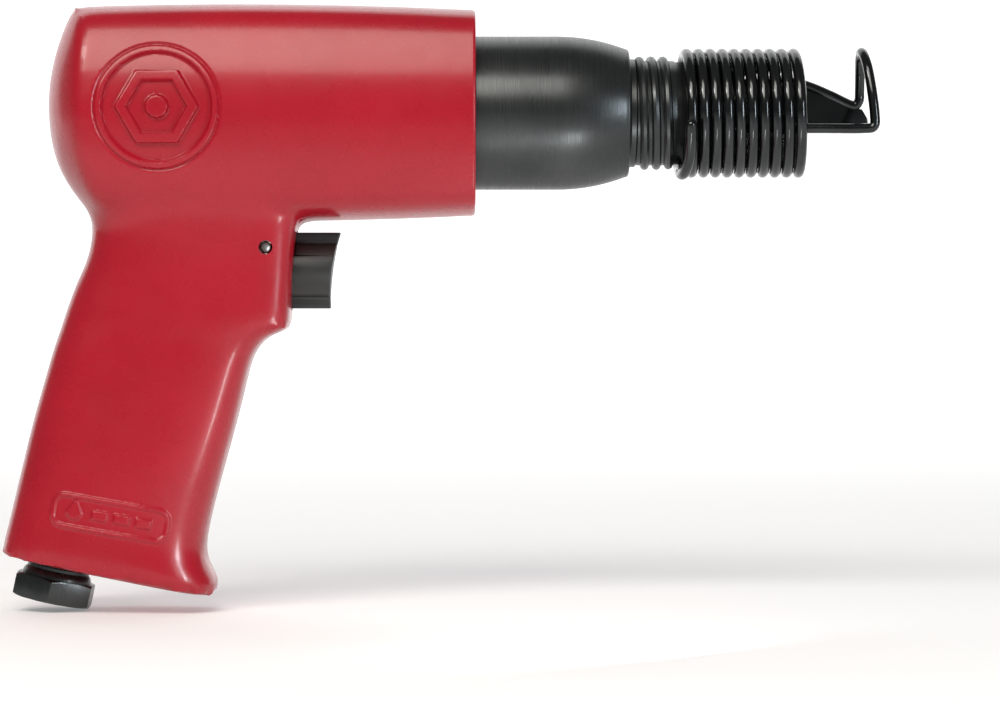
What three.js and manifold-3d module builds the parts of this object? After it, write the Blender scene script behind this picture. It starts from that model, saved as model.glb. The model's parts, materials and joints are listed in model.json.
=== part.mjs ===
// A pistol-grip pneumatic air hammer, in millimetres, +Z up, with the barrel pointing along +X.
//
// Inside the group "tool" the X axis is the barrel's axis and X = 0 is the front face of the
// housing. The group is then moved so that the origin is the middle of the whole tool's box.
import * as THREE from "three";
import { mergeVertices } from "three/addons/utils/BufferGeometryUtils.js";
import Module from "manifold-3d";

// ---------------------------------------------------------------- driving dimensions

const FIT = 0.3; // clearance between pieces that touch
const TOOL_MIDDLE = new THREE.Vector3(-8.5, 0, -48); // middle of the tool's box

const BODY = {
  rear: -106, // crown of the domed rear face
  dome: 9, // depth of that dome
  halfHeight: { rear: 26.2, middle: 27, front: 25.5 },
  halfWidth: { rear: 23.5, front: 22.7 },
  squareness: 3, // 2 would be an ellipse
};
const GRIP = {
  tilt: THREE.MathUtils.degToRad(12), // rake of the inlet, and of the bottom face
  squareness: 2.8,
  // height, rear strap, front strap and half width, from inside the body down to the toe
  stations: [
    { z: -12, back: -97.5, front: -50, half: 18.5 },
    { z: -30, back: -95.6, front: -50, half: 16.6 },
    { z: -44, back: -99.9, front: -52, half: 16 },
    { z: -58, back: -104.5, front: -54.4, half: 16 },
    { z: -76, back: -109.4, front: -59.1, half: 16.4 },
    { z: -98, back: -114.6, front: -65.1, half: 17 },
    { z: -109, back: -117.1, front: -67, half: 17.4 },
    { z: -117, back: -118.8, front: -63.7, half: 17.6 },
    { z: -126, back: -120.8, front: -63.7, half: 17.6 },
  ],
  heel: { x: -116.8, z: -109.2 }, // a point on the bottom face
};
const BOSS = {
  // the block in front of the grip that guides the trigger
  outline: [
    [-82, -18],
    [-43.8, -18],
    [-46, -53.4],
    [-51.5, -55.2],
    [-55, -58.6],
    [-82, -62],
  ],
  halfWidth: 13.6,
  edge: 1.8,
};
const BORE = {
  front: 19.9, // round the barrel, where the exhaust leaves
  frontDepth: 30,
  rear: 15.5,
  rearDepth: 86,
};
const BARREL = {
  rear: -58,
  seat: 15.2, // the part that is held in the housing
  body: 19.05,
  shoulder: 21, // where the taper starts
  nose: 38.1,
  noseRadius: 15.95,
  thread: { crest: 14.2, root: 12.9, pitch: 2.95, from: 41.3, to: 49.6 },
  muzzle: 60.8,
  muzzleRadius: 12.7,
  socket: 5.1, // takes a 10.2 mm chisel shank
  socketRear: 35,
};
const PISTON = { radius: 9.25, bore: 9.55, length: 25 };
const VALVE = {
  radius: 15.2,
  case: { front: -58.3, rear: -66, chamber: 10, chamberFront: -61.3 },
  disc: { radius: 9.6, hole: 2.5, thickness: 2.1 },
  block: { front: -66.3, rear: -81.4 },
  cushion: { front: -81.7, rear: -85.6 },
  dowel: { radius: 1.4, offset: 12.6, front: -53.6, rear: -76 },
};
const THROTTLE = {
  z: -39.15, // height of the trigger's and the throttle valve's axis
  guide: 7.3,
  guideRear: -64.3,
  bore: 6.8,
  boreRear: -92,
  bushing: { radius: 6.5, front: -64.6, rear: -76 },
  stem: 2.2,
  head: 5.4,
};
const TRIGGER = {
  radius: 7,
  keyHalfHeight: 9.45,
  keyWidth: 4,
  rear: -58.3,
  front: -30, // the end of the moulding before its finger hollow is cut
  travel: 5,
  fingerRadius: 50, // hollow of the finger face
  fingerCentre: { x: 14.1, z: -45.6 },
};
const TRIGGER_PIN = { x: -51.4, z: -33.6, radius: 1.4, wall: 0.5, length: 23.6 };
const INLET = {
  face: { x: -103.35, z: -112.05 }, // where its axis meets the grip's bottom face
  passage: 6,
  passageLength: 74,
  spigot: 8.35,
  spigotDepth: 14,
  neck: 3.5,
  hexAcross: 19,
  hexHeight: 5.8,
  hole: 6.3,
};
const RETAINER = {
  wire: 1.33,
  coil: 14.75,
  pitch: 2.95,
  turns: 10.25,
  start: 50.9, // the first turn starts under the barrel
  tail: { turns: 0.215, rise: 2.75, lean: 1.7 },
};
const CLIP = {
  wire: 1.25,
  hoop: 11,
  hoopX: 63.8,
  // its route in front of the hoop: near arm, upright loop and far arm
  route: [
    [67, -9, -4.2],
    [74, -8.6, -4.2],
    [86, -8.5, -4.2],
    [95.5, -8.5, -4.2],
    [98.6, -8.5, -3.5],
    [98.6, -8.4, -0.6],
    [97.8, -7.8, 5],
    [97, -6, 10.8],
    [96.4, -3.2, 14],
    [96.1, 0, 15.1],
    [96.2, 3.2, 14],
    [96.5, 6, 10.8],
    [96.6, 7.5, 6],
    [96.4, 7.8, 3.4],
    [94.8, 7.9, 2.6],
    [89.3, 7.8, 5.1],
    [83.5, 7.6, 7.1],
    [76, 7.4, 7.7],
    [68, 7.4, 7.7],
  ],
};
const WEB = {
  // the plate under the clip's far arm
  outline: [
    [72, 6.2],
    [83, 5.7],
    [89, 3.8],
    [94.4, 1.2],
    [97, 0.9],
    [97.8, -4],
    [72, -4],
  ],
  thickness: 1.2,
  y: 7.6,
};

const COLOURS = {
  paint: { color: 0xb42637, roughness: 0.38, metalness: 0 },
  blackSteel: { color: 0x2a2d2e, roughness: 0.45, metalness: 0.9 },
  springSteel: { color: 0x17191a, roughness: 0.25, metalness: 0.9 },
  brightSteel: { color: 0xa9abad, roughness: 0.3, metalness: 1 },
  blackPlastic: { color: 0x1d1f1f, roughness: 0.4, metalness: 0 },
  brass: { color: 0xb5913f, roughness: 0.35, metalness: 1 },
  rubber: { color: 0x161616, roughness: 0.8, metalness: 0 },
};

// ---------------------------------------------------------------- solids

const wasm = await Module();
wasm.setup();

/** A closed three.js geometry as a solid that can be cut and joined. */
function solid(geometry) {
  const bare = geometry.clone();
  bare.deleteAttribute("normal");
  bare.deleteAttribute("uv");
  const merged = mergeVertices(bare, 1e-4);
  return new wasm.Manifold(
    new wasm.Mesh({
      numProp: 3,
      vertProperties: merged.attributes.position.array,
      triVerts: new Uint32Array(merged.index.array),
    }),
  );
}

/** A solid as a flat-shaded three.js geometry. */
function shapeOf(body) {
  const mesh = body.getMesh();
  const indexed = new THREE.BufferGeometry()
    .setAttribute("position", new THREE.BufferAttribute(mesh.vertProperties, 3))
    .setIndex(new THREE.BufferAttribute(mesh.triVerts, 1));
  const shape = indexed.toNonIndexed();
  shape.computeVertexNormals();
  return shape;
}

/** A profile of [radius, x] pairs turned about the X axis, the outside listed towards +X. */
function turned(profile, sides = 32) {
  const points = profile.map(([radius, x]) => new THREE.Vector2(radius, x));
  return new THREE.LatheGeometry(points, sides).rotateZ(-Math.PI / 2);
}

/** A round bar along X. */
function bar(radius, from, to, sides = 24) {
  return turned([[0, from], [radius, from], [radius, to], [0, to]], sides);
}

/** A round tube along X. */
function tube(inner, outer, from, to, sides = 24) {
  const wall = [[inner, from], [outer, from], [outer, to], [inner, to], [inner, from]];
  return turned(wall, sides);
}

/** A ring of round section about X, as an O-ring is. */
function seal(middle, thickness, x, sides = 16) {
  const section = [];
  for (let i = 0; i <= 6; i++) {
    const angle = -(i / 6) * 2 * Math.PI;
    const radius = middle - (thickness / 2) * Math.cos(angle);
    section.push([radius, x + (thickness / 2) * Math.sin(angle)]);
  }
  return turned(section, sides);
}

/** A box from its lowest to its highest corner. */
function block(low, high) {
  const size = high.map((value, i) => value - low[i]);
  const middle = high.map((value, i) => (value + low[i]) / 2);
  return new THREE.BoxGeometry(...size).translate(...middle);
}

/** A round bar along Y. */
function crossBar(radius, x, z, halfLength, sides = 24) {
  return new THREE.CylinderGeometry(radius, radius, 2 * halfLength, sides).translate(x, 0, z);
}

/** A wire of round section along a curve. */
function wire(curve, radius, steps, sides = 8) {
  const section = new THREE.Shape().absarc(0, 0, radius, 0, 2 * Math.PI);
  return new THREE.ExtrudeGeometry(section, {
    steps,
    curveSegments: sides / 2,
    bevelEnabled: false,
    extrudePath: curve,
  });
}

/**
 * A closed loft: a cylinder whose every point is moved by place(angle, share, reach), where
 * share runs from 0 to 1 along it and reach is 1 on the wall and 0 at the middle of an end.
 */
function lofted(around, along, place) {
  const geometry = new THREE.CylinderGeometry(1, 1, 1, around, along);
  const position = geometry.attributes.position;
  for (let i = 0; i < position.count; i++) {
    const [x, y, z] = [position.getX(i), position.getY(i), position.getZ(i)];
    const point = place(Math.atan2(z, x), y + 0.5, Math.hypot(x, z));
    position.setXYZ(i, point.x, point.y, point.z);
  }
  return geometry;
}

/** One coordinate of a rounded square: the sine or cosine bent towards the corners. */
function squared(value, squareness) {
  return Math.sign(value) * Math.abs(value) ** (2 / squareness);
}

/** A named value of the grip's stations at a height, on a smooth curve through them. */
function gripAt(z, name) {
  const stations = GRIP.stations;
  const last = stations.length - 1;
  let i = 0;
  while (i < last - 1 && z < stations[i + 1].z) i++;
  const share = THREE.MathUtils.clamp((stations[i].z - z) / (stations[i].z - stations[i + 1].z), 0, 1);
  const near = (k) => stations[THREE.MathUtils.clamp(k, 0, last)][name];
  return new THREE.CatmullRomCurve3(
    [i - 1, i, i + 1, i + 2].map((k) => new THREE.Vector3(near(k), k * 10, 0)),
    false,
    "catmullrom",
    0.5,
  ).getPoint((1 + share) / 3).x;
}

const tool = new THREE.Group();
tool.name = "tool";
tool.position.copy(TOOL_MIDDLE).negate();

/** Adds a piece to the tool, or to a group inside it. */
function piece(name, geometry, colour, group = tool) {
  const mesh = new THREE.Mesh(geometry, new THREE.MeshStandardMaterial(COLOURS[colour]));
  mesh.name = name;
  group.add(mesh);
  return mesh;
}

// ---------------------------------------------------------------- the housing casting

/** The rounded-square body round the barrel, with its domed rear face. */
function bodyShell() {
  const domeSteps = 6;
  const wallSteps = 6;
  const steps = domeSteps + wallSteps;
  const domeFront = BODY.rear + BODY.dome;
  const swell = new THREE.QuadraticBezierCurve(
    new THREE.Vector2(0, BODY.halfHeight.rear),
    new THREE.Vector2(0.5, 2 * BODY.halfHeight.middle - (BODY.halfHeight.rear + BODY.halfHeight.front) / 2),
    new THREE.Vector2(1, BODY.halfHeight.front),
  );
  return lofted(32, steps, (angle, share, reach) => {
    const step = share * steps;
    let x = domeFront;
    let scale = 1;
    if (step < domeSteps) {
      const bend = THREE.MathUtils.lerp(0.3, Math.PI / 2, step / domeSteps);
      x -= BODY.dome * Math.cos(bend) ** 1.2;
      scale = Math.sin(bend);
      if (reach < 0.5) x = BODY.rear;
    } else {
      x += ((step - domeSteps) / wallSteps) * -domeFront;
    }
    const along = THREE.MathUtils.clamp(1 - x / domeFront, 0, 1);
    const halfHeight = swell.getPoint(along).y * scale * reach;
    const halfWidth = THREE.MathUtils.lerp(BODY.halfWidth.rear, BODY.halfWidth.front, along);
    return new THREE.Vector3(
      x,
      squared(Math.sin(angle), BODY.squareness) * halfWidth * scale * reach,
      squared(Math.cos(angle), BODY.squareness) * halfHeight,
    );
  });
}

/** The grip, from inside the body to below its bottom face. */
function gripShell() {
  const top = GRIP.stations[0].z;
  const bottom = GRIP.stations.at(-1).z;
  return lofted(24, 14, (angle, share, reach) => {
    const z = THREE.MathUtils.lerp(bottom, top, share);
    const back = gripAt(z, "back");
    const front = gripAt(z, "front");
    return new THREE.Vector3(
      (front + back) / 2 + (squared(Math.cos(angle), GRIP.squareness) * reach * (front - back)) / 2,
      -squared(Math.sin(angle), GRIP.squareness) * reach * gripAt(z, "half"),
      z,
    );
  });
}

/** The trigger boss, an outline in XZ given a width and softened edges. */
function bossShell() {
  const outline = new THREE.Shape(BOSS.outline.map(([x, z]) => new THREE.Vector2(x, z)));
  return new THREE.ExtrudeGeometry(outline, {
    depth: 2 * (BOSS.halfWidth - BOSS.edge),
    bevelThickness: BOSS.edge,
    bevelSize: BOSS.edge,
    bevelOffset: -BOSS.edge,
    bevelSegments: 2,
  })
    .translate(0, 0, BOSS.edge - BOSS.halfWidth)
    .rotateX(Math.PI / 2);
}

/** Turns a shape made along X into one made down the inlet's raked axis. */
function alongInlet(geometry) {
  return geometry.rotateY(Math.PI / 2 + GRIP.tilt).translate(INLET.face.x, 0, INLET.face.z);
}

function housing() {
  const belowGrip = block([-200, -40, -60], [200, 40, 0])
    .rotateY(GRIP.tilt)
    .translate(GRIP.heel.x, 0, GRIP.heel.z);
  const slotHalf = TRIGGER.keyHalfHeight + FIT;
  const keySlot = block(
    [THROTTLE.guideRear, -TRIGGER.keyWidth / 2 - FIT, THROTTLE.z - slotHalf],
    [TRIGGER.front, TRIGGER.keyWidth / 2 + FIT, THROTTLE.z + slotHalf],
  );
  const supply = { x: -70, radius: 3.5 };
  const riser = new THREE.CylinderGeometry(supply.radius, supply.radius, 24, 16)
    .rotateX(Math.PI / 2)
    .translate(supply.x, 0, -25);
  const cuts = [
    belowGrip,
    bar(BORE.front, -BORE.frontDepth, 5, 32),
    bar(BORE.rear, -BORE.rearDepth, 0, 32),
    bar(THROTTLE.guide, THROTTLE.guideRear, TRIGGER.front).translate(0, 0, THROTTLE.z),
    bar(THROTTLE.bore, THROTTLE.boreRear, -60).translate(0, 0, THROTTLE.z),
    keySlot,
    riser,
    crossBar(TRIGGER_PIN.radius + FIT, TRIGGER_PIN.x, TRIGGER_PIN.z, 30, 12),
    alongInlet(bar(INLET.passage, -INLET.passageLength, 5, 16)),
    alongInlet(bar(INLET.spigot + FIT, -INLET.spigotDepth - 2, 5, 20)),
  ];
  let casting = solid(bodyShell()).add(solid(gripShell())).add(solid(bossShell()));
  for (const cut of cuts) casting = casting.subtract(solid(cut));
  return shapeOf(casting);
}
piece("handle_housing", housing(), "paint");

// ---------------------------------------------------------------- barrel and piston

function barrel() {
  const thread = BARREL.thread;
  const outside = [
    [0, BARREL.rear],
    [BARREL.seat, BARREL.rear],
    [BARREL.seat, -8],
    [BARREL.body, -8],
    [BARREL.body, BARREL.shoulder],
  ];
  // the taper is an arc that leaves the straight barrel smoothly
  for (let i = 1; i <= 4; i++) {
    const x = THREE.MathUtils.lerp(BARREL.shoulder, BARREL.nose - 0.6, i / 4);
    outside.push([BARREL.body - (BARREL.body - BARREL.noseRadius) * (i / 4) ** 2, x]);
  }
  outside.push([BARREL.noseRadius - 0.8, BARREL.nose], [thread.root, BARREL.nose]);
  // rounded crests of the retainer's thread
  const crests = Math.floor((thread.to - thread.from) / thread.pitch) + 1;
  for (let i = 0; i < crests; i++) {
    const middle = thread.from + 1.2 + i * thread.pitch;
    outside.push([thread.root, middle - 1.1], [thread.crest, middle - 0.5]);
    outside.push([thread.crest, middle + 0.5], [thread.root, middle + 1.1]);
  }
  outside.push([BARREL.muzzleRadius, thread.to + 0.2]);
  outside.push([BARREL.muzzleRadius, BARREL.muzzle - 1], [BARREL.muzzleRadius - 1, BARREL.muzzle]);
  outside.push([0, BARREL.muzzle]);
  const exhaust = { x: -18, radius: 2.5, length: 40 };
  const cuts = [
    bar(PISTON.bore, BARREL.rear - 5, BARREL.socketRear, 24),
    bar(BARREL.socket, 0, BARREL.muzzle + 5, 16),
    turned([[0, BARREL.socketRear - 1], [PISTON.bore, BARREL.socketRear - 1], [0, 40]], 24),
    turned([[0, BARREL.muzzle - 3], [BARREL.socket + 2, BARREL.muzzle + 1], [0, BARREL.muzzle + 1]], 16),
    crossBar(exhaust.radius, exhaust.x, 0, exhaust.length / 2, 12),
    crossBar(exhaust.radius, exhaust.x, 0, exhaust.length / 2, 12).rotateX(Math.PI / 2),
  ];
  for (const side of [-1, 1]) {
    const hole = VALVE.dowel.radius + FIT;
    cuts.push(bar(hole, -70, VALVE.dowel.front + FIT, 12).translate(0, side * VALVE.dowel.offset, 0));
  }
  let body = solid(turned(outside, 32));
  for (const cut of cuts) body = body.subtract(solid(cut));
  return shapeOf(body);
}
piece("barrel", barrel(), "blackSteel");

function piston() {
  const rear = BARREL.rear + FIT;
  const front = rear + PISTON.length;
  const profile = [[0, rear], [PISTON.radius - 1, rear], [PISTON.radius, rear + 1]];
  for (const groove of [rear + 6, rear + 16]) {
    profile.push([PISTON.radius, groove], [PISTON.radius - 0.6, groove]);
    profile.push([PISTON.radius - 0.6, groove + 2], [PISTON.radius, groove + 2]);
  }
  profile.push([PISTON.radius, front - 1], [PISTON.radius - 1, front], [0, front]);
  return turned(profile, 24);
}
piece("piston", piston(), "brightSteel");

// ---------------------------------------------------------------- air distributing valve

/** Holes for the two dowels that keep the valve's pieces in line. */
function dowelHoles() {
  const hole = VALVE.dowel.radius + FIT;
  return [-1, 1].map((side) =>
    bar(hole, VALVE.dowel.rear - FIT, -50, 12).translate(0, side * VALVE.dowel.offset, 0),
  );
}

/** Round ports on a circle about the X axis. */
function ports(count, circle, radius, from, to) {
  return Array.from({ length: count }, (_, i) =>
    bar(radius, from, to, 10).translate(0, 0, circle).rotateX(((i + 0.5) / count) * 2 * Math.PI),
  );
}

function cutFrom(geometry, cuts) {
  let body = solid(geometry);
  for (const cut of cuts) body = body.subtract(solid(cut));
  return shapeOf(body);
}

piece(
  "valve_case",
  cutFrom(bar(VALVE.radius, VALVE.case.rear, VALVE.case.front, 32), [
    bar(VALVE.case.chamber, VALVE.case.rear - 1, VALVE.case.chamberFront),
    bar(5, VALVE.case.rear - 1, VALVE.case.front + 1, 16),
    ...dowelHoles(),
  ]),
  "brightSteel",
);

const discRear = VALVE.case.rear + FIT;
piece(
  "distributing_valve",
  turned(
    [
      [VALVE.disc.hole, discRear],
      [VALVE.disc.radius, discRear],
      [VALVE.disc.radius, discRear + VALVE.disc.thickness - 0.4],
      [VALVE.disc.radius - 0.4, discRear + VALVE.disc.thickness],
      [VALVE.disc.hole, discRear + VALVE.disc.thickness],
      [VALVE.disc.hole, discRear],
    ],
    24,
  ),
  "brightSteel",
);

piece(
  "valve_block",
  cutFrom(bar(VALVE.radius, VALVE.block.rear, VALVE.block.front, 32), [
    ...ports(4, 7, 1.6, VALVE.block.rear - 1, VALVE.block.front + 1),
    block([VALVE.block.rear - 1, -3.5, -16], [-71, 3.5, -11.8]),
    ...dowelHoles(),
  ]),
  "brightSteel",
);

[-1, 1].forEach((side) => {
  const dowel = bar(VALVE.dowel.radius, VALVE.dowel.rear, VALVE.dowel.front, 12);
  const name = side < 0 ? "valve_dowel_near" : "valve_dowel_far";
  piece(name, dowel.translate(0, side * VALVE.dowel.offset, 0), "brightSteel");
});

// a dished spring washer that presses the valve against the barrel
piece(
  "valve_spring_washer",
  turned([
    [13.6, VALVE.cushion.rear],
    [15, VALVE.cushion.rear],
    [12.4, VALVE.cushion.front],
    [11, VALVE.cushion.front],
    [13.6, VALVE.cushion.rear],
  ]),
  "springSteel",
);

// ---------------------------------------------------------------- throttle

const throttle = new THREE.Group();
throttle.position.z = THROTTLE.z;
tool.add(throttle);

function throttleBushing() {
  const { radius, front, rear } = THROTTLE.bushing;
  const groove = radius - 1.5;
  const profile = [
    [THROTTLE.stem + 2.2, rear],
    [radius, rear],
    [radius, rear + 1],
    [groove, rear + 1],
    [groove, rear + 2.8],
    [radius, rear + 2.8],
    [radius, rear + 4],
    [groove + 0.4, rear + 4],
    [groove + 0.4, rear + 7.4],
    [radius, rear + 7.4],
    [radius, front - 2.4],
    [groove, front - 2.4],
    [groove, front - 0.6],
    [radius, front - 0.6],
    [radius, front],
    [3.9, front],
    [3.9, front - 1.7],
    [THROTTLE.stem + 0.4, front - 1.7],
    [THROTTLE.stem + 0.4, front - 3.4],
    [THROTTLE.stem + 2.2, front - 4],
    [THROTTLE.stem + 2.2, rear],
  ];
  const outlet = { x: rear + 5.7, radius: 1.4 };
  const drills = [0, Math.PI / 2].map((turn) =>
    crossBar(outlet.radius, outlet.x, 0, 10, 8).rotateX(turn),
  );
  return cutFrom(turned(profile, 16), drills);
}
piece("throttle_bushing", throttleBushing(), "brass", throttle);

const ringMiddle = THROTTLE.bushing.radius - 0.55;
piece("bushing_o_ring_front", seal(ringMiddle, 1.2, THROTTLE.bushing.front - 1.5), "rubber", throttle);
piece("bushing_o_ring_rear", seal(ringMiddle, 1.2, THROTTLE.bushing.rear + 1.9), "rubber", throttle);
piece("stem_o_ring", seal(3.05, 1, THROTTLE.bushing.front - 0.8), "rubber", throttle);

const headFront = THROTTLE.bushing.rear - 1.6;
piece(
  "throttle_valve",
  turned(
    [
      [0, headFront - 2.4],
      [3.2, headFront - 2.4],
      [3.2, headFront - 1.4],
      [THROTTLE.head, headFront - 1.4],
      [THROTTLE.head, headFront],
      [THROTTLE.stem, headFront],
      [THROTTLE.stem, TRIGGER.rear - FIT - 0.4],
      [THROTTLE.stem - 0.4, TRIGGER.rear - FIT],
      [0, TRIGGER.rear - FIT],
    ],
    20,
  ),
  "brightSteel",
  throttle,
);
piece(
  "throttle_seal",
  tube(THROTTLE.stem + FIT, THROTTLE.head - 0.2, headFront + FIT, THROTTLE.bushing.rear - FIT, 20),
  "rubber",
  throttle,
);

/** A helix about X through the middle of its wire. */
class Helix extends THREE.Curve {
  constructor(radius, start, pitch, turns, firstAngle) {
    super();
    Object.assign(this, { radius, start, pitch, turns, firstAngle });
  }
  getPoint(share, target = new THREE.Vector3()) {
    const turn = share * this.turns;
    const angle = this.firstAngle + turn * 2 * Math.PI;
    return target.set(
      this.start + this.pitch * turn,
      -this.radius * Math.sin(angle),
      this.radius * Math.cos(angle),
    );
  }
}

const springCurve = new Helix(4.3, THROTTLE.boreRear + 0.9, 2.05, 4.9, 0);
piece("throttle_spring", wire(springCurve, 0.5, 54, 6), "brightSteel", throttle);

// ---------------------------------------------------------------- trigger

function trigger() {
  const axis = THROTTLE.z;
  const plunger = bar(TRIGGER.radius, TRIGGER.rear, TRIGGER.front, 32).translate(0, 0, axis);
  const key = block(
    [TRIGGER.rear + 2, -TRIGGER.keyWidth / 2, axis - TRIGGER.keyHalfHeight],
    [TRIGGER.front, TRIGGER.keyWidth / 2, axis + TRIGGER.keyHalfHeight],
  );
  const finger = crossBar(TRIGGER.fingerRadius, TRIGGER.fingerCentre.x, TRIGGER.fingerCentre.z, 20, 96);
  const room = TRIGGER_PIN.radius + 0.35;
  const pinSlot = block(
    [TRIGGER_PIN.x - room, -15, TRIGGER_PIN.z - room],
    [TRIGGER_PIN.x + room + TRIGGER.travel, 15, TRIGGER_PIN.z + room],
  );
  const body = solid(plunger).add(solid(key));
  return shapeOf(body.subtract(solid(finger)).subtract(solid(pinSlot)));
}
piece("trigger", trigger(), "blackPlastic");

/** A rolled spring pin: a tube with a slit along it. */
function rollPin() {
  const { radius, wall, length } = TRIGGER_PIN;
  const slit = 0.3;
  const section = new THREE.Shape();
  section.absarc(0, 0, radius, slit, 2 * Math.PI - slit, false);
  section.absarc(0, 0, radius - wall, 2 * Math.PI - slit, slit, true);
  section.closePath();
  return new THREE.ExtrudeGeometry(section, { depth: length, curveSegments: 12, bevelEnabled: false })
    .translate(0, 0, -length / 2)
    .rotateX(Math.PI / 2)
    .translate(TRIGGER_PIN.x, 0, TRIGGER_PIN.z);
}
piece("trigger_pin", rollPin(), "brightSteel");

// ---------------------------------------------------------------- air inlet

function inletBushing() {
  const hexRadius = INLET.hexAcross / Math.sqrt(3);
  const end = INLET.neck + INLET.hexHeight;
  const hexagon = new THREE.CylinderGeometry(hexRadius, hexRadius, INLET.hexHeight, 6)
    .rotateZ(-Math.PI / 2)
    .translate(INLET.neck + INLET.hexHeight / 2, 0, 0);
  // a corner of the hexagon faces the side of the tool
  const cornerOut = hexagon.rotateX(Math.PI / 2);
  const chamfer = turned([
    [0, INLET.neck],
    [INLET.hexAcross / 2 - 0.2, INLET.neck],
    [hexRadius, INLET.neck + 0.9],
    [hexRadius, end - 0.9],
    [INLET.hexAcross / 2 - 0.2, end],
    [0, end],
  ]);
  const stem = bar(INLET.spigot, -INLET.spigotDepth, INLET.neck + 1, 28);
  const head = solid(cornerOut).intersect(solid(chamfer));
  const bored = head.add(solid(stem)).subtract(solid(bar(INLET.hole, -30, end + 1, 24)));
  return alongInlet(shapeOf(bored));
}
piece("inlet_bushing", inletBushing(), "blackSteel");

const sealX = -INLET.spigotDepth - 1;
piece("inlet_seal", alongInlet(tube(6.4, 8.2, sealX - 0.7, sealX + 0.7)), "rubber");

/** A cup-shaped dirt strainer in the mouth of the bushing. */
function strainer() {
  const radius = INLET.hole - FIT;
  const cup = [
    [0, -12.6],
    [radius, -12.6],
    [radius, -4],
    [radius - 0.8, -4],
    [radius - 0.8, -11.8],
    [0, -11.8],
  ];
  return alongInlet(cutFrom(turned(cup, 20), [bar(0.9, -14, -10, 8), ...ports(6, 3.2, 0.9, -14, -10)]));
}
piece("inlet_screen", strainer(), "brass");

// ---------------------------------------------------------------- chisel retainer

/** The coil, with the end of its wire laid over the first turns as a tail to grip it by. */
class RetainerWire extends THREE.Curve {
  getPoint(share, target = new THREE.Vector3()) {
    const { turns, tail } = RETAINER;
    const turn = share * (turns + tail.turns) - tail.turns;
    const angle = Math.PI + turn * 2 * Math.PI;
    const rise = tail.rise * THREE.MathUtils.smoothstep(-turn, 0, 0.1);
    const lean = tail.lean * THREE.MathUtils.smoothstep(-turn, 0.03, 0.16);
    const radius = RETAINER.coil + rise;
    const x = RETAINER.start + RETAINER.pitch * Math.max(turn, 0) + lean;
    return target.set(x, -radius * Math.sin(angle), radius * Math.cos(angle));
  }
}
piece("retainer_spring", wire(new RetainerWire(), RETAINER.wire, 168, 8), "springSteel");

/** The safety clip: a hoop inside the coil, a near arm, an upright loop and a far arm. */
function clipCurve() {
  const hoop = [];
  for (let i = 0; i <= 8; i++) {
    const angle = THREE.MathUtils.degToRad(THREE.MathUtils.lerp(200, -110, i / 8));
    const x = CLIP.hoopX;
    hoop.push([x, CLIP.hoop * Math.sin(angle), CLIP.hoop * Math.cos(angle)]);
  }
  const points = [...hoop, ...CLIP.route].map((point) => new THREE.Vector3(...point));
  return new THREE.CatmullRomCurve3(points, false, "centripetal");
}
piece("retainer_clip", wire(clipCurve(), CLIP.wire, 84, 8), "springSteel");

/** The thin web under the clip's far arm. */
function clipWeb() {
  const outline = new THREE.Shape(WEB.outline.map(([x, z]) => new THREE.Vector2(x, z)));
  return new THREE.ExtrudeGeometry(outline, { depth: WEB.thickness, bevelEnabled: false })
    .translate(0, 0, -WEB.thickness / 2)
    .rotateX(Math.PI / 2)
    .translate(0, WEB.y, 0);
}
piece("clip_web", clipWeb(), "springSteel");

const hammer = new THREE.Group();
hammer.add(tool);

export default hammer;
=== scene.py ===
import json
import math

import bmesh
import bpy
from mathutils import Matrix, Vector


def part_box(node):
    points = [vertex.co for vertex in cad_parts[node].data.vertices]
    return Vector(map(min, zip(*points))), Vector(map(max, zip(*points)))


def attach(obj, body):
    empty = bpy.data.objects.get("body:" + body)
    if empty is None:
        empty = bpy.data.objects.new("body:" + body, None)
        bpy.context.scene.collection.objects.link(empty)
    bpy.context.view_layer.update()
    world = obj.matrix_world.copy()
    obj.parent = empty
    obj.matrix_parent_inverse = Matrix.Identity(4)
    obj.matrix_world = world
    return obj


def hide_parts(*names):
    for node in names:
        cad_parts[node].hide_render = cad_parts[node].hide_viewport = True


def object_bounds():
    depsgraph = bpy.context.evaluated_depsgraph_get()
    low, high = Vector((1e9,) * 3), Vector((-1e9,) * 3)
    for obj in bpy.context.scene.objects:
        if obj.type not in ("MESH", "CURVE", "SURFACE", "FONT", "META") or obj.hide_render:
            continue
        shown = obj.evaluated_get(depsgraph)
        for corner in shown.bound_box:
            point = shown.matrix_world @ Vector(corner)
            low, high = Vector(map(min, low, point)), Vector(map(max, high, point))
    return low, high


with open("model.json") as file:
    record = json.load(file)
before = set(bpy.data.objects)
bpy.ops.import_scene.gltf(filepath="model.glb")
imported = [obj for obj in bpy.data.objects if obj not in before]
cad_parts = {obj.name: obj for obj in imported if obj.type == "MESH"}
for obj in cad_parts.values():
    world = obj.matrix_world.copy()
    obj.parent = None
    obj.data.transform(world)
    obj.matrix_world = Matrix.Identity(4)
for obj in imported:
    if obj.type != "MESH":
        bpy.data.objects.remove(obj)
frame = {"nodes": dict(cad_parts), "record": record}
cad_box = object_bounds()


# ------------------------------------------------------------------ handle housing
# Body and pistol grip are one aluminium die casting, sprayed with red enamel. The body is a
# crowned square round the barrel, with a domed back, and the grip leans back under it. The
# front of the grip swells into a boss for the trigger. Everything else is put in from its ends.

mm = 0.001
housing_low, housing_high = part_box("handle_housing")
barrel_low, barrel_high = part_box("barrel")
front_face = housing_high[0]
barrel_axis = (barrel_low[2] + barrel_high[2]) / 2


def at(x, y, z):
    """A point in millimetres from where the barrel's axis leaves the housing's front face."""
    return Vector((front_face + x * mm, y * mm, barrel_axis + z * mm))


def between(low, high, value):
    """How far a value is from low to high, eased at both ends, from 0 to 1."""
    share = min(1, max(0, (value - low) / (high - low)))
    return share * share * (3 - 2 * share)


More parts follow.
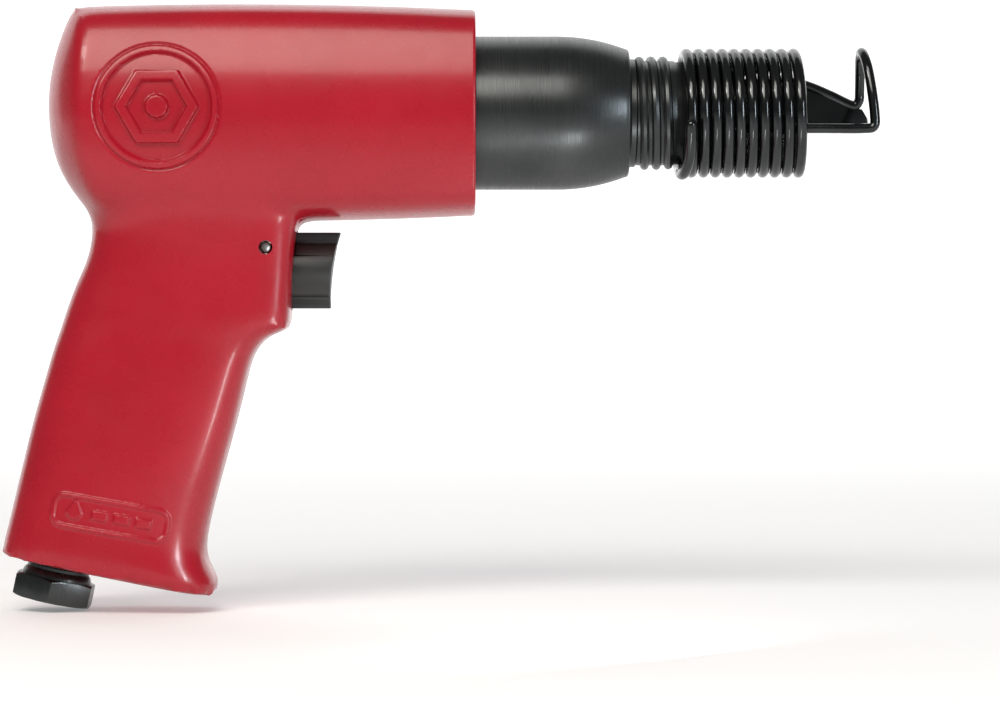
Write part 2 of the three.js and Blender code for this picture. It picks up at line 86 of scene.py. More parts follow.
def body_section(half_width, half_height, count=88):
    """Points round the crowned square: four arcs whose corners are run together."""
    crown, corner = 50, 2.2
    points = []
    for i in range(count):
        across, up = math.sin(2 * math.pi * i / count), math.cos(2 * math.pi * i / count)
        near, far = 0, 2 * half_height
        for _ in range(20):
            reach = (near + far) / 2
            y, z = abs(across) * reach, abs(up) * reach
            side = math.hypot(y + crown - half_width, z) - crown
            top = math.hypot(y, z + crown - half_height) - crown
            run_in = max(0, corner - abs(side - top)) ** 2 / (4 * corner)
            if max(side, top) + run_in > 0:
                far = reach
            else:
                near = reach
        points.append((across * near, up * near))
    return points


def body_rings():
    """The rings of the body, from a little past its front to the middle of the domed back."""
    rings = []
    for i in range(46):
        x = 5 - 97 * i / 45
        share = max(0, -x / 100)
        half_height = 25.5 + 5.1 * share - 4.35 * share ** 2
        half_width = 22.45 + 0.65 * share
        rings.append([at(x, y, z) for y, z in body_section(half_width, half_height)])
    rim = body_section(23.1, 26.2)
    for scale in [1, 0.97, 0.93, 0.88, 0.8, 0.7, 0.6, 0.5, 0.4, 0.3, 0.2, 0.1]:
        ring = []
        for y, z in rim:
            y, z = y * scale, z * scale
            dome = -106 + y ** 2 / 58 + (z - 1.5) ** 2 / 94 + 0.014 * min(0, z + 10) ** 2
            ring.append(at(dome, y, z))
        rings.append(ring)
    return rings


# Each station of the grip: back strap x and z, front strap x and z, half width, and how square
# the back and the front are. The first nine are the boss, and the last five round the bottom's
# edge over.
GRIP = [
    (-94, -17, -43.8, -17, 17.5, 2.6, 9),
    (-94.7, -27, -44.3, -27, 16.6, 2.7, 9),
    (-96, -35.5, -44.8, -36, 16, 2.8, 9),
    (-99.4, -43.5, -45.3, -44.5, 15.8, 3, 9),
    (-101.7, -50.2, -45.7, -51.6, 15.8, 3.2, 8.5),
    (-102.3, -52, -45.7, -53.2, 15.8, 3.3, 8.2),
    (-102.7, -53.4, -47.2, -54.1, 15.8, 3.3, 8),
    (-103.3, -55.2, -50, -54.9, 15.8, 3.4, 7.7),
    (-103.9, -56.9, -52.3, -56.3, 15.8, 3.4, 7.3),
    (-104.7, -59.3, -54.2, -58.7, 15.9, 3.4, 6.8),
    (-105.7, -62.8, -55.6, -61.8, 16, 3.4, 6.3),
    (-109.4, -76, -59, -75.6, 16.3, 3.4, 5.2),
    (-112.5, -89, -62.3, -87.6, 16.7, 3.4, 4.5),
    (-115, -99.5, -65.5, -99.9, 17, 3.4, 4),
    (-116.1, -104, -66.9, -107.8, 17.2, 3.4, 4),
    (-116.8, -106.6, -66.2, -111.6, 17.4, 3.4, 4),
    (-117, -108, -64.3, -115.1, 17.5, 3.5, 4),
    (-117.1, -108.5, -63.7, -117, 17.5, 3.5, 4),
    (-117, -108.9, -63.8, -118.4, 17.4, 3.5, 4),
    (-116.6, -109.2, -64.5, -119.4, 17.1, 3.5, 4),
    (-115.4, -109.4, -65.8, -119.8, 15.9, 3.5, 4),
]


def eased_rows(rows, steps):
    """Rows run through smoothly, with a number of steps from each to the next."""
    smooth = []
    for i in range(len(rows) - 1):
        a, b, c, d = (Vector(rows[min(len(rows) - 1, max(0, k))]) for k in range(i - 1, i + 3))
        for j in range(steps):
            t = j / steps
            bend = 2 * b + (c - a) * t + (2 * a - 5 * b + 4 * c - d) * t ** 2
            smooth.append((bend + (3 * b - a - 3 * c + d) * t ** 3) / 2)
    smooth.append(Vector(rows[-1]))
    return smooth


def grip_rings():
    """The rings of the grip, from inside the body to its raked bottom."""
    rings = []
    for row in eased_rows(GRIP, 3):
        back_x, back_z, front_x, front_z, half_width, square_back, square_front = row
        ring = []
        for i in range(96):
            along, across = math.cos(2 * math.pi * i / 96), math.sin(2 * math.pi * i / 96)
            square = square_front if along > 0 else square_back
            reach = math.copysign(abs(along) ** (2 / square), along)
            side = math.copysign(abs(across) ** (2 / square), across)
            share = (1 + reach) / 2
            taper = 1 - 0.13 * max(0, reach) ** 2
            ring.append(
                at(
                    back_x + (front_x - back_x) * share,
                    side * half_width * taper,
                    back_z + (front_z - back_z) * share,
                )
            )
        rings.append(ring)
    return rings


def loft(bm, rings):
    """Skins a closed form over rings that all have the same number of points."""
    last = None
    for points in rings:
        ring = bmesh.ops.create_circle(bm, segments=len(points))["verts"]
        for vert, point in zip(ring, points):
            vert.co = point
        bm.edges.index_update()
        edges = sorted({e for vert in ring for e in vert.link_edges}, key=lambda e: e.index)
        if last:
            bmesh.ops.bridge_loops(bm, edges=last + edges)
        last = edges
    open_edges = [edge for edge in bm.edges if edge.is_boundary]
    bmesh.ops.holes_fill(bm, edges=open_edges, sides=0)
    bmesh.ops.recalc_face_normals(bm, faces=bm.faces)


def new_piece(name, bm, body):
    """Makes a mesh object of a bmesh, in a body of the frame and a slot of the record."""
    mesh = bpy.data.meshes.new(name)
    bm.to_mesh(mesh)
    bm.free()
    piece = bpy.data.objects.new(name, mesh)
    bpy.context.scene.collection.objects.link(piece)
    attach(piece, body)
    return piece


def settle(piece):
    """Makes a piece's modifiers part of its mesh."""
    depsgraph = bpy.context.evaluated_depsgraph_get()
    mesh = bpy.data.meshes.new_from_object(piece.evaluated_get(depsgraph))
    mesh.name = piece.name
    piece.modifiers.clear()
    piece.data = mesh


def cut(piece, bm, operation="DIFFERENCE"):
    """Cuts a closed bmesh out of a piece, or keeps what the two share."""
    mesh = bpy.data.meshes.new("cutter")
    bm.to_mesh(mesh)
    bm.free()
    cutter = bpy.data.objects.new("cutter", mesh)
    bpy.context.scene.collection.objects.link(cutter)
    boolean = piece.modifiers.new("cut", "BOOLEAN")
    boolean.operation = operation
    boolean.object = cutter
    boolean.solver = "EXACT"
    settle(piece)
    bpy.data.objects.remove(cutter)


def smooth_shading(piece, angle=30):
    """Shades a piece smoothly, with an edge kept where its faces meet at more than an angle."""
    piece.data.shade_smooth()
    piece.data.set_sharp_from_angle(angle=math.radians(angle))


def turned(bm, profile, steps=96, middle=(0, 0)):
    """Turns a profile of (x, radius) pairs in millimetres about the barrel's direction."""
    y, z = middle
    line = [bm.verts.new(at(x, y, z + radius)) for x, radius in profile]
    edges = [bm.edges.new(pair) for pair in zip(line, line[1:])]
    bmesh.ops.spin(
        bm,
        geom=line + edges,
        cent=at(0, y, z),
        axis=(1, 0, 0),
        steps=steps,
        angle=2 * math.pi,
        use_merge=True,
    )
    bmesh.ops.remove_doubles(bm, verts=bm.verts, dist=0.001 * mm)
    bmesh.ops.recalc_face_normals(bm, faces=bm.faces)


EVERY_WAY = {"use_axis_x": True, "use_axis_y": True, "use_axis_z": True}


def lean(vert):
    """The way from a vertex to the middle of its neighbours."""
    around = [edge.other_vert(vert).co for edge in vert.link_edges]
    return sum(around, Vector()) / len(around) - vert.co


def fill_inside_corners(bm, rounds):
    """Grows a fillet in each inside corner, and leaves the outside corners as they are."""
    bm.normal_update()
    bm.verts.index_update()
    deep_enough, margin, whole_rounds, pull = 0.02 * mm, 13, 3, 0.7
    reach = {vert for vert in bm.verts if lean(vert).dot(vert.normal) > deep_enough}
    for _ in range(margin):
        reach |= {edge.other_vert(vert) for vert in reach for edge in vert.link_edges}
    reach = sorted(reach, key=lambda vert: vert.index)
    behind_boss_front = [vert for vert in reach if vert.co.x < at(-51, 0, 0).x]
    for i in range(rounds):
        growing = reach if i < whole_rounds else behind_boss_front
        moves = [(vert, lean(vert)) for vert in growing]
        for vert, move in moves:
            if move.dot(vert.normal) > 0:
                vert.co += move * pull
        if i % 10 == 9:
            bm.normal_update()


def even_out(bm, rounds):
    """Evens the gentle surfaces, and leaves the edges and corners as crisp as they are."""
    bm.normal_update()
    gentle = []
    for vert in bm.verts:
        if all(face.normal.dot(vert.normal) > 0.965 for face in vert.link_faces):
            gentle.append(vert)
    for _ in range(rounds):
        bmesh.ops.smooth_vert(bm, verts=gentle, factor=0.5, **EVERY_WAY)


def fused_housing():
    """The body and the grip run together into one skin, with the inside corners filleted."""
    bm = bmesh.new()
    loft(bm, body_rings())
    grip = bmesh.new()
    loft(grip, grip_rings())
    spare = bpy.data.meshes.new("grip")
    grip.to_mesh(spare)
    grip.free()
    bm.from_mesh(spare)
    bpy.data.meshes.remove(spare)
    housing = new_piece("housing", bm, "housing")
    remesh = housing.modifiers.new("skin", "REMESH")
    remesh.mode = "VOXEL"
    remesh.voxel_size = 0.82 * mm
    settle(housing)
    bm = bmesh.new()
    bm.from_mesh(housing.data)
    bmesh.ops.smooth_vert(bm, verts=bm.verts, factor=0.5, **EVERY_WAY)
    fill_inside_corners(bm, 60)
    for _ in range(3):
        bmesh.ops.smooth_vert(bm, verts=bm.verts, factor=0.5, **EVERY_WAY)
    even_out(bm, 24)
    bm.to_mesh(housing.data)
    bm.free()
    return housing


def machined_front():
    """A form that is larger than the housing, but for its flat front and broken front edge."""
    rings = []
    for x, inset, scale in (
        (0, 0.6, 1),
        (-0.1, 0.36, 1),
        (-0.3, 0.16, 1),
        (-0.7, -0.02, 1),
        (-1.2, -0.35, 1),
        (-1.3, 0, 7),
        (-170, 0, 7),
    ):
        section = body_section(22.45 - inset, 25.5 - inset)
        rings.append([at(x, y * scale, z * scale) for y, z in section])
    bm = bmesh.new()
    loft(bm, rings)
    return bm


housing = fused_housing()
cut(housing, machined_front(), "INTERSECT")
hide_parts("handle_housing")

EMBLEM = {"x": -77.4, "z": 0.4, "radius": 14.9}
PLATE = {"x": -89.2, "z": -99.7, "half_length": 14, "half_height": 3.8, "tilt": math.radians(10)}


def ridge(distance, width, edge=0.25):
    """The height, from 0 to 1, of a raised line at a distance from its middle."""
    return between(width / 2 + edge, width / 2 - edge, distance) if distance < width else 0


def emblem_height(x, z):
    """Relief of the round emblem: two rings and a hexagon nut with a dot, in millimetres."""
    u, v = x - EMBLEM["x"], z - EMBLEM["z"]
    from_middle = math.hypot(u, v)
    ring = ridge(abs(from_middle - EMBLEM["radius"] + 0.75), 1.5) * 0.4
    dish = -0.9 * between(EMBLEM["radius"] - 1.2, EMBLEM["radius"] - 1.9, from_middle)
    groove = -0.35 * ridge(abs(from_middle - EMBLEM["radius"] - 0.45), 0.6)
    turn = math.atan2(v, u) % (math.pi / 3) - math.pi / 6
    from_flat = from_middle * math.cos(turn)
    nut = ridge(abs(from_flat - 7.6), 2.5) * 1.2
    dot = between(3.1, 2.5, from_middle) * 1.2
    return ring + dish + groove + nut + dot


def plate_height(x, z):
    """Relief of the long plate near the foot: its border, a drop and three short bars."""
    u, v = x - PLATE["x"], z - PLATE["z"]
    u, v = (
        u * math.cos(PLATE["tilt"]) - v * math.sin(PLATE["tilt"]),
        u * math.sin(PLATE["tilt"]) + v * math.cos(PLATE["tilt"]),
    )
    round_end = 2.6
    past_u = max(0, abs(u) - PLATE["half_length"] + round_end)
    past_v = max(0, abs(v) - PLATE["half_height"] + round_end)
    from_border = math.hypot(past_u, past_v) - round_end
    border = ridge(abs(from_border), 1) * 0.45
    drop_wide = 1.9 if v < 0 else 1.9 * max(0, 1 - v / 3.2)
    drop = between(0.3, -0.3, math.hypot(u + 8.8, min(0, v)) - drop_wide) * 0.5
    if v > 3 or v < -2.4:
        drop = 0
    bars = 0
    for middle in (-2.6, 2.8, 8.2):
        bars += between(2.15, 1.65, abs(u - middle)) * between(1.45, 0.95, abs(v)) * 0.5
    return border + drop + bars


def emboss(piece, near, height, sides, cuts):
    """Refines the faces near a mark and raises them by its relief, on the sides it stands on."""
    bm = bmesh.new()
    bm.from_mesh(piece.data)

    def marked(co, normal):
        x, y, z = (co - at(0, 0, 0)) / mm
        return near(x, z) and any(normal.y * side > 0.5 for side in sides)

    faces = [face for face in bm.faces if marked(face.calc_center_median(), face.normal)]
    edges = sorted({edge for face in faces for edge in face.edges}, key=lambda edge: edge.index)
    bmesh.ops.subdivide_edges(bm, edges=edges, cuts=cuts, use_grid_fill=True)
    bm.normal_update()
    moves = []
    for vert in bm.verts:
        if marked(vert.co, vert.normal):
            x, y, z = (vert.co - at(0, 0, 0)) / mm
            moves.append((vert, vert.normal * height(x, z) * mm))
    for vert, move in moves:
        vert.co += move
    bm.to_mesh(piece.data)
    bm.free()


def near_emblem(x, z):
    """Whether a place is on the round emblem or its groove."""
    return math.hypot(x - EMBLEM["x"], z - EMBLEM["z"]) < EMBLEM["radius"] + 1.2


def near_plate(x, z):
    """Whether a place is on the long plate."""
    return abs(x - PLATE["x"]) < 15.5 and abs(z - PLATE["z"]) < 8.5


detail = 2
emboss(housing, near_emblem, emblem_height, (-1, 1), detail)
emboss(housing, near_plate, plate_height, (-1,), detail)

TRIGGER_AXIS = -39.15
PIN = {"x": -51.4, "z": -33.6, "half_length": 11.8}


def bore(profile, steps=96, middle=(0, 0)):
    """A cutter turned from a profile, for a bore along the barrel's direction."""
    bm = bmesh.new()
    turned(bm, profile, steps, middle)
    return bm


body_bore = [(5, 0), (5, 21), (0.3, 20.6), (-0.4, 19.9), (-30, 19.9), (-30, 15.5), (-86, 15.5), (-86, 0)]
cut(housing, bore(body_bore))
trigger_bore = [(-30, 0), (-30, 7.35), (-64, 7.35), (-64, 6.8), (-92, 6.8), (-92, 0)]
cut(housing, bore(trigger_bore, 64, (0, TRIGGER_AXIS)))

key_slot = bmesh.new()
bmesh.ops.create_cube(key_slot, size=1)
bmesh.ops.scale(key_slot, verts=key_slot.verts, vec=Vector((30, 4.7, 19.6)) * mm)
bmesh.ops.translate(key_slot, verts=key_slot.verts, vec=at(-50, 0, TRIGGER_AXIS))
cut(housing, key_slot)

pin_hole = bmesh.new()
hole_size = {"radius1": 1.7 * mm, "radius2": 1.7 * mm, "depth": 60 * mm}
bmesh.ops.create_cone(pin_hole, cap_ends=True, segments=40, **hole_size)
bmesh.ops.rotate(pin_hole, verts=pin_hole.verts, matrix=Matrix.Rotation(math.pi / 2, 3, "X"))
bmesh.ops.translate(pin_hole, verts=pin_hole.verts, vec=at(PIN["x"], 0, PIN["z"]))
cut(housing, pin_hole)

# The inlet's bore runs up the grip, square to its raked bottom face.
INLET_RAKE = math.radians(12)
INLET_FACE = at(-103.35, 0, -112.05)
down_inlet = Vector((-math.sin(INLET_RAKE), 0, -math.cos(INLET_RAKE)))
inlet_turn = Vector((1, 0, 0)).rotation_difference(down_inlet).to_matrix().to_4x4()
INLET_PLACE = Matrix.Translation(INLET_FACE) @ inlet_turn @ Matrix.Translation(-at(0, 0, 0))


def at_inlet(bm):
    """Moves what is made along the barrel's axis to the inlet's, with x running down out of it."""
    bmesh.ops.transform(bm, matrix=INLET_PLACE, verts=bm.verts)
    return bm


inlet_bore = [(6, 0), (6, 9.4), (1, 9.4), (-0.2, 8.65), (-16, 8.65), (-16, 6), (-60, 6), (-60, 0)]
cut(housing, at_inlet(bore(inlet_bore, 64)))
smooth_shading(housing, 42)


def noise_at(nodes, links, scale, detail=3, roughness=0.5):
    """A noise pattern fixed to the piece, with its features a stated number to the metre."""
    place = nodes.new("ShaderNodeTexCoord")
    pattern = nodes.new("ShaderNodeTexNoise")
    pattern.inputs["Scale"].default_value = scale
    pattern.inputs["Detail"].default_value = detail
    pattern.inputs["Roughness"].default_value = roughness
    links.new(place.outputs["Object"], pattern.inputs["Vector"])
    return pattern.outputs["Fac"]


def ramp(nodes, links, value, stops):
    """Colours or greys spread over a value: (position, colour) pairs."""
    node = nodes.new("ShaderNodeValToRGB")
    bar = node.color_ramp
    while len(bar.elements) < len(stops):
        bar.elements.new(0.5)
    for element, (position, colour) in zip(bar.elements, stops):
        element.position = position
        element.color = (*colour, 1) if isinstance(colour, tuple) else (colour, colour, colour, 1)
    links.new(value, node.inputs["Fac"])
    return node.outputs["Color"]


def bump(nodes, links, height, strength, distance, under=None):
    """Small relief from a pattern, over another one where there are two."""
    node = nodes.new("ShaderNodeBump")
    node.inputs["Strength"].default_value = strength
    node.inputs["Distance"].default_value = distance
    links.new(height, node.inputs["Height"])
    if under:
        links.new(under, node.inputs["Normal"])
    return node.outputs["Normal"]


def finish_of(name):
    """A new material, with its nodes, its links and its shader."""
    material = bpy.data.materials.new(name)
    material.use_nodes = True
    nodes, links = material.node_tree.nodes, material.node_tree.links
    return material, nodes, links, nodes["Principled BSDF"]


def red_enamel():
    """Sprayed red enamel: faint orange peel, a little unevenness, and a clear gloss on top."""
    material, nodes, links, shader = finish_of("red_enamel")
    cloud = noise_at(nodes, links, 38, 4)
    shade = ramp(nodes, links, cloud, [(0.3, (0.34, 0.006, 0.016)), (0.7, (0.395, 0.008, 0.021))])
    links.new(shade, shader.inputs["Base Color"])
    haze = noise_at(nodes, links, 160, 3)
    links.new(ramp(nodes, links, haze, [(0.3, 0.25), (0.75, 0.31)]), shader.inputs["Roughness"])
    peel = noise_at(nodes, links, 900, 2)
    links.new(bump(nodes, links, peel, 0.05, 0.0003), shader.inputs["Normal"])
    shader.inputs["Specular IOR Level"].default_value = 0.35
    shader.inputs["Coat Weight"].default_value = 0.25
    shader.inputs["Coat Roughness"].default_value = 0.12
    return material


def give(piece, material):
    """Puts one material on a whole piece."""
    piece.data.materials.clear()
    piece.data.materials.append(material)


give(housing, red_enamel())


# ------------------------------------------------------------------ barrel
# The barrel is turned from black-oxided steel bar. It is screwed into the housing, tapers in a
# smooth arc to its nose, and ends in a coarse rolled thread and a plain muzzle for the retainer.
# Its bore holds the piston, and the hole in the muzzle takes the chisel's shank.

THREAD = {"pitch": 2.95, "ridge": 1.15, "core": 13, "from": 40.2, "turns": 2.8}


def barrel_outline():
    """The outside and then the bore of the barrel, as (x, radius) pairs."""
    outline = [(-58, 9.55), (-58, 14.6), (-57.4, 15.2), (-8.6, 15.2), (-8, 18.6), (-7.5, 19.05)]
    outline.append((20, 19.05))
    for i in range(1, 25):
        share = i / 24
        outline.append((20 + 17.3 * share, 19.05 - 3.1 * share ** 2.1))
    for i in range(1, 7):
        turn = i / 6 * math.pi / 2
        outline.append((37.3 + 0.8 * math.sin(turn), 15.15 + 0.8 * math.cos(turn)))
    outline += [(38.1, 13.7), (38.4, 13.45), (39.5, 13.45), (39.9, THREAD["core"]), (49.2, THREAD["core"])]
    outline += [(49.7, 12.7), (59.9, 12.7), (60.5, 12.4), (60.8, 11.8), (60.8, 6.6)]
    outline += [(59.4, 5.1), (40, 5.1), (35, 9.55), (-58, 9.55)]
    return outline


barrel_bm = bmesh.new()
turned(barrel_bm, barrel_outline(), 160)
barrel = new_piece("barrel_steel", barrel_bm, "housing")
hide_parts("barrel")


def helix(radius, start, pitch, turns, first, per_turn):
    """Points along a coil about the barrel's axis; first is its angle from the top."""
    steps = round(turns * per_turn)
    points = []
    for i in range(steps + 1):
        turn = i / per_turn
        angle = first + 2 * math.pi * turn
        points.append(at(start + pitch * turn, -radius * math.sin(angle), radius * math.cos(angle)))
    return points


def wire_mesh(name, points, radii, sides=16):
    """A round wire along points, with a radius for each, as a mesh."""
    curve = bpy.data.curves.new(name, "CURVE")
    curve.dimensions = "3D"
    curve.bevel_depth = mm
    curve.bevel_resolution = sides // 4 - 1
    curve.use_fill_caps = True
    spline = curve.splines.new("POLY")
    spline.points.add(len(points) - 1)
    for i, point in enumerate(points):
        spline.points[i].co = (*point, 1)
        spline.points[i].radius = radii[i] if isinstance(radii, list) else radii
    holder = bpy.data.objects.new(name, curve)
    bpy.context.scene.collection.objects.link(holder)
    depsgraph = bpy.context.evaluated_depsgraph_get()
    mesh = bpy.data.meshes.new_from_object(holder.evaluated_get(depsgraph))
    bpy.data.objects.remove(holder)
    bm = bmesh.new()
    bm.from_mesh(mesh)
    bpy.data.meshes.remove(mesh)
    bmesh.ops.remove_doubles(bm, verts=bm.verts, dist=0.001 * mm)
    bmesh.ops.recalc_face_normals(bm, faces=bm.faces)
    return bm


def domed_wire(name, points, radius, sides=16):
    """A round wire along points, with both its ends dressed to half balls."""
    domes = [math.radians(angle) for angle in (20, 40, 58, 74, 86)]
    radii = [radius] * len(points)
    for end, inner, outward in ((points[0], points[1], -1), (points[-1], points[-2], 1)):
        way = (end - inner).normalized() * radius * mm
        tips = [(end + way * math.sin(dome), radius * math.cos(dome)) for dome in domes]
        if outward < 0:
            points = [tip for tip, _ in reversed(tips)] + points
            radii = [thin for _, thin in reversed(tips)] + radii
        else:
            points = points + [tip for tip, _ in tips]
            radii = radii + [thin for _, thin in tips]
    return wire_mesh(name, points, radii, sides)


first = math.radians(-55)
thread_points = helix(THREAD["core"], THREAD["from"], THREAD["pitch"], THREAD["turns"], first, 72)
thread_radii = []
for i in range(len(thread_points)):
    to_end = min(i, len(thread_points) - 1 - i)
    thread_radii.append(THREAD["ridge"] * min(1, 0.3 + to_end / 18))
thread_bm = wire_mesh("barrel_thread", thread_points, thread_radii)
thread = new_piece("barrel_thread", thread_bm, "housing")


def black_oxide():
    """Black oxide over fine turning marks, with grey where it is rubbed."""
    material, nodes, links, shader = finish_of("black_oxide")
    cloud = noise_at(nodes, links, 55, 4)
    shade = ramp(nodes, links, cloud, [(0.3, (0.05, 0.055, 0.056)), (0.75, (0.085, 0.09, 0.09))])
    links.new(shade, shader.inputs["Base Color"])
    shader.inputs["Metallic"].default_value = 0.9
    place = nodes.new("ShaderNodeTexCoord")
    squash = nodes.new("ShaderNodeMapping")
    squash.inputs["Scale"].default_value = (5200, 60, 60)
    links.new(place.outputs["Object"], squash.inputs["Vector"])
    marks = nodes.new("ShaderNodeTexNoise")
    marks.inputs["Scale"].default_value = 1
    marks.inputs["Detail"].default_value = 2
    links.new(squash.outputs["Vector"], marks.inputs["Vector"])
    roughness = ramp(nodes, links, marks.outputs["Fac"], [(0.3, 0.25), (0.7, 0.36)])
    links.new(roughness, shader.inputs["Roughness"])
    grain = noise_at(nodes, links, 2600, 2)
    fine = bump(nodes, links, grain, 0.06, 0.0002)
    links.new(bump(nodes, links, marks.outputs["Fac"], 0.12, 0.0001, fine), shader.inputs["Normal"])
    return material


steel = black_oxide()
for part in (barrel, thread):
    give(part, steel)
    smooth_shading(part, 32)


# ------------------------------------------------------------------ chisel retainer
# A close coil of black spring wire screws on to the barrel's nose. The end of its wire is bent
# back over the first turns as a tail to grip it by.

COIL = {"wire": 1.42, "radius": 14.75, "pitch": 2.95, "turns": 10.25, "start": 50.9}
TAIL = {"turns": 0.215, "rise": 2.9, "lean": 1.7}


def retainer_points(per_turn=56):
    """The wire's route, from the tip of the tail round to the front of the coil."""
    steps = round((COIL["turns"] + TAIL["turns"]) * per_turn)
    points = []
    for i in range(steps + 1):
        turn = i / per_turn - TAIL["turns"]
        angle = math.pi + 2 * math.pi * turn
        radius = COIL["radius"] + TAIL["rise"] * between(0, 0.1, -turn)
        lean = TAIL["lean"] * between(0.03, 0.16, -turn)
        x = COIL["start"] + COIL["pitch"] * max(turn, 0) + lean
        points.append(at(x, -radius * math.sin(angle), radius * math.cos(angle)))
    return points


coil_bm = domed_wire("retainer_coil", retainer_points(), COIL["wire"])
coil = new_piece("retainer_coil", coil_bm, "retainer")
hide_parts("retainer_spring")


def black_wire():
    """Oiled black spring wire: glossy, with drawing lines and a little dust in places."""
    material, nodes, links, shader = finish_of("black_wire")
    cloud = noise_at(nodes, links, 120, 4)
    shade = ramp(nodes, links, cloud, [(0.3, (0.03, 0.032, 0.034)), (0.8, (0.055, 0.058, 0.06))])
    links.new(shade, shader.inputs["Base Color"])
    links.new(ramp(nodes, links, cloud, [(0.3, 0.1), (0.75, 0.19)]), shader.inputs["Roughness"])
    shader.inputs["Metallic"].default_value = 0.95
    shader.inputs["Coat Weight"].default_value = 0.3
    shader.inputs["Coat Roughness"].default_value = 0.12
    lines = noise_at(nodes, links, 1800, 3)
    links.new(bump(nodes, links, lines, 0.08, 0.0002), shader.inputs["Normal"])
    return material


wire_finish = black_wire()
give(coil, wire_finish)
smooth_shading(coil, 50)


# ------------------------------------------------------------------ safety clip
# A loop of spring wire stands in front of the coil and keeps the chisel's collar in. It is held
# by a hoop inside the coil, and a thin web is welded under its far arm.

CLIP_WIRE = 1.25


def clip_route():
    """The clip's wire: hoop, near arm, upright loop and far arm, in millimetres."""
    route = []
    for i in range(9):
        angle = math.radians(200 - 310 * i / 8)
        route.append((63.8, 11 * math.sin(angle), 11 * math.cos(angle)))
    route += [(67, -9, -4.2), (74, -8.6, -4.2), (86, -8.5, -4.2), (95.5, -8.5, -4.2), (98.2, -8.5, -3.6)]
    route += [(98.4, -8.4, -0.6), (97.8, -7.8, 5), (97, -6, 10.8), (96.4, -3.2, 14), (96.1, 0, 15.1)]
    route += [(96.2, 3.2, 14), (96.5, 6, 10.8), (96.6, 7.5, 6), (96.4, 7.8, 3.4), (94.8, 7.9, 2.4)]
    route += [(89.3, 7.8, 4.9), (84, 7.6, 7.1), (79.5, 7.4, 8.2), (75, 7.2, 8), (68, 7.2, 7.8)]
    return route


clip_points = [at(*row) for row in eased_rows(clip_route(), 10)]
clip_bm = domed_wire("clip", clip_points, CLIP_WIRE)
clip = new_piece("retainer_clip_wire", clip_bm, "clip")
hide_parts("retainer_clip")
give(clip, wire_finish)
smooth_shading(clip, 50)

web_bm = bmesh.new()
web_outline = [(72, 6.8), (79.5, 7.2), (84, 6.3), (89.3, 4.1), (94.6, 1.8), (97.2, 1.4)]
web_outline += [(98.6, -1), (98.8, -4), (72, -4)]
web_face = web_bm.faces.new([web_bm.verts.new(at(x, 7.05, z)) for x, z in web_outline])
grown = bmesh.ops.extrude_face_region(web_bm, geom=[web_face])["geom"]
grown = [part for part in grown if isinstance(part, bmesh.types.BMVert)]
bmesh.ops.translate(web_bm, verts=grown, vec=(0, 1.1 * mm, 0))
bmesh.ops.recalc_face_normals(web_bm, faces=web_bm.faces)
bmesh.ops.bevel(
    web_bm, geom=web_bm.edges[:], offset=0.25 * mm, segments=3, profile=0.5, affect="EDGES", material=-1
)
web = new_piece("clip_web_plate", web_bm, "clip")
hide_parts("clip_web")
give(web, wire_finish)
smooth_shading(web, 50)


# ------------------------------------------------------------------ trigger and its pin
# The trigger is moulded in black nylon: a round plunger with a key above and below it that keeps
# it from turning, and a hollowed end for the finger. A rolled spring pin across the boss runs in
# a slot in the plunger and stops it from coming out.

TRIGGER = {"radius": 7, "key": 9.45, "key_half": 2, "rear": -58.3, "length": 29}


def trigger_section():
    """Points round the plunger and its two keys, as (y, z) pairs."""
    root = math.asin(TRIGGER["key_half"] / TRIGGER["radius"])
    points = []
    for middle in (0, math.pi):
        top = math.copysign(TRIGGER["key"], math.cos(middle))
        half = math.copysign(TRIGGER["key_half"], math.cos(middle))
        points += [(-half, top), (half, top)]
        for i in range(25):
            angle = middle + root + (math.pi - 2 * root) * i / 24
            points.append((TRIGGER["radius"] * math.sin(angle), TRIGGER["radius"] * math.cos(angle)))
    return points


trigger_bm = bmesh.new()
section = []
for y, z in trigger_section():
    section.append(trigger_bm.verts.new(at(TRIGGER["rear"], y, TRIGGER_AXIS + z)))
grown = bmesh.ops.extrude_face_region(trigger_bm, geom=[trigger_bm.faces.new(section)])["geom"]
grown = [part for part in grown if isinstance(part, bmesh.types.BMVert)]
bmesh.ops.translate(trigger_bm, verts=grown, vec=(TRIGGER["length"] * mm, 0, 0))
bmesh.ops.recalc_face_normals(trigger_bm, faces=trigger_bm.faces)
trigger = new_piece("trigger_plunger", trigger_bm, "trigger")
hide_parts("trigger")

finger = bmesh.new()
finger_size = {"radius1": 50 * mm, "radius2": 50 * mm, "depth": 40 * mm}
bmesh.ops.create_cone(finger, cap_ends=True, segments=256, **finger_size)
bmesh.ops.rotate(finger, verts=finger.verts, matrix=Matrix.Rotation(math.pi / 2, 3, "X"))
bmesh.ops.translate(finger, verts=finger.verts, vec=at(14.1, 0, -45.6))
cut(trigger, finger)
pin_slot = bmesh.new()
bmesh.ops.create_cube(pin_slot, size=1)
bmesh.ops.scale(pin_slot, verts=pin_slot.verts, vec=Vector((8.6, 30, 3.6)) * mm)
bmesh.ops.translate(pin_slot, verts=pin_slot.verts, vec=at(PIN["x"] + 2.5, 0, PIN["z"]))
cut(trigger, pin_slot)
soft = trigger.modifiers.new("soft_edges", "BEVEL")
soft.width = 0.35 * mm
soft.segments = 3
soft.use_clamp_overlap = False
soft.limit_method = "ANGLE"
soft.angle_limit = math.radians(35)
settle(trigger)


